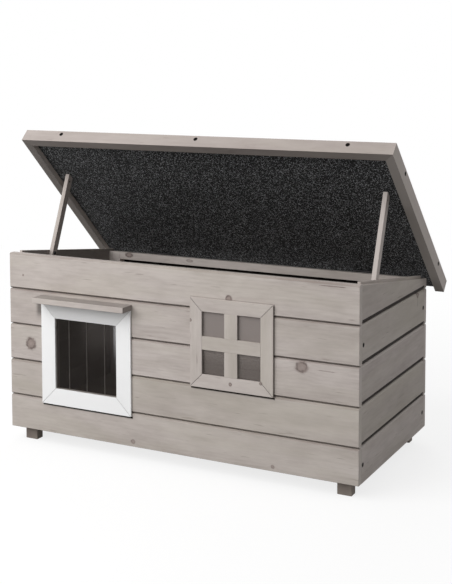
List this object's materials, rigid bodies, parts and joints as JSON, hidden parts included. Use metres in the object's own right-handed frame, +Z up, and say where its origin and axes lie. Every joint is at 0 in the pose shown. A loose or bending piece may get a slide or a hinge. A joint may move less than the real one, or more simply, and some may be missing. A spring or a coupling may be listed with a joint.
{
  "type": "outdoor cat house",
  "caption": "Wooden outdoor cat house: shiplap cabin on feet with a strip-curtain door under an awning, a barred window and a hinged sloping lid propped open on laths.",
  "frame": {"origin": "middle of the footprint of the house with its lid open as at rest, on the ground under the feet", "axes": "+X along the front, to the right of a person facing the door, +Y from the front to the back, +Z up"},
  "size_m": [0.84, 0.4618, 0.646],
  "materials": {
    "front_wood": "matt, grey-washed",
    "wall_wood": "matt, grey-washed",
    "inner_wood": "matt, bare",
    "window_wood": "matt, grey-washed",
    "rail_wood": "matt, planed",
    "white_paint": "white paint, satin",
    "clear_pvc": "clear soft plastic",
    "clear_pane": "clear acrylic",
    "felt": "black felt with grey grit",
    "black_steel": "blackened"
  },
  "bodies": {
    "house": {"front_board_1": "front_wood", "front_board_2": "front_wood", "front_board_3": "front_wood", "front_board_4": "front_wood", "front_board_5": "front_wood", "back_board_1": "wall_wood", "back_board_2": "wall_wood", "back_board_3": "wall_wood", "back_board_4": "wall_wood", "back_board_5": "wall_wood", "left_board_1": "wall_wood", "left_board_2": "wall_wood", "left_board_3": "wall_wood", "left_board_4": "wall_wood", "left_board_5": "wall_wood", "right_board_1": "wall_wood", "right_board_2": "wall_wood", "right_board_3": "wall_wood", "right_board_4": "wall_wood", "right_board_5": "wall_wood", "corner_posts": "inner_wood", "floor_bearers": "inner_wood", "floor_panel": "inner_wood", "feet": "front_wood", "back_batten": "inner_wood", "door_frame_left": "white_paint", "door_frame_right": "white_paint", "door_frame_bottom": "white_paint", "door_frame_top": "white_paint", "door_awning": "front_wood", "flap_clamp": "inner_wood", "window_frame_left": "window_wood", "window_frame_right": "window_wood", "window_frame_bottom": "window_wood", "window_frame_top": "window_wood", "window_cross_bar": "window_wood", "window_upright_bars": "window_wood", "window_pane": "clear_pane", "hinge_wall_leaves": "black_steel", "hinge_pins": "black_steel", "wall_screws": "black_steel"},
    "lid": {"roof_panel": "inner_wood", "roof_felt": "felt", "roof_lining": "felt", "lid_rail_front": "rail_wood", "lid_rail_left": "rail_wood", "lid_rail_right": "rail_wood", "hinge_lid_leaves": "black_steel", "prop_tabs": "black_steel", "prop_pins": "black_steel", "lid_screws": "black_steel"},
    "prop_left": {"prop_left": "rail_wood", "prop_bolt_left": "black_steel"},
    "prop_right": {"prop_right": "rail_wood", "prop_bolt_right": "black_steel"},
    "flap_1": {"flap_strip_1": "clear_pvc"},
    "flap_2": {"flap_strip_2": "clear_pvc"},
    "flap_3": {"flap_strip_3": "clear_pvc"},
    "flap_4": {"flap_strip_4": "clear_pvc"}
  },
  "joints": [
    {"name": "lid_hinge", "type": "hinge", "parent": "house", "child": "lid", "pos_m": [0, 0.18879, 0.34534], "axis": [-1, 0, 0], "range_deg": [-36, 50]},
    {"name": "prop_left_pivot", "type": "hinge", "parent": "lid", "child": "prop_left", "pos_m": [-0.3711, -0.01479, 0.52824], "axis": [1, 0, 0], "range_deg": [0, 66]},
    {"name": "prop_right_pivot", "type": "hinge", "parent": "lid", "child": "prop_right", "pos_m": [0.3711, -0.01479, 0.52824], "axis": [1, 0, 0], "range_deg": [0, 66]},
    {"name": "flap_1_swing", "type": "hinge", "parent": "house", "child": "flap_1", "pos_m": [-0.2582, -0.19586, 0.269], "axis": [1, 0, 0], "range_deg": [-80, 80]},
    {"name": "flap_2_swing", "type": "hinge", "parent": "house", "child": "flap_2", "pos_m": [-0.2215, -0.19586, 0.269], "axis": [1, 0, 0], "range_deg": [-80, 80]},
    {"name": "flap_3_swing", "type": "hinge", "parent": "house", "child": "flap_3", "pos_m": [-0.1785, -0.19586, 0.269], "axis": [1, 0, 0], "range_deg": [-80, 80]},
    {"name": "flap_4_swing", "type": "hinge", "parent": "house", "child": "flap_4", "pos_m": [-0.1418, -0.19586, 0.269], "axis": [1, 0, 0], "range_deg": [-80, 80]}
  ]
}
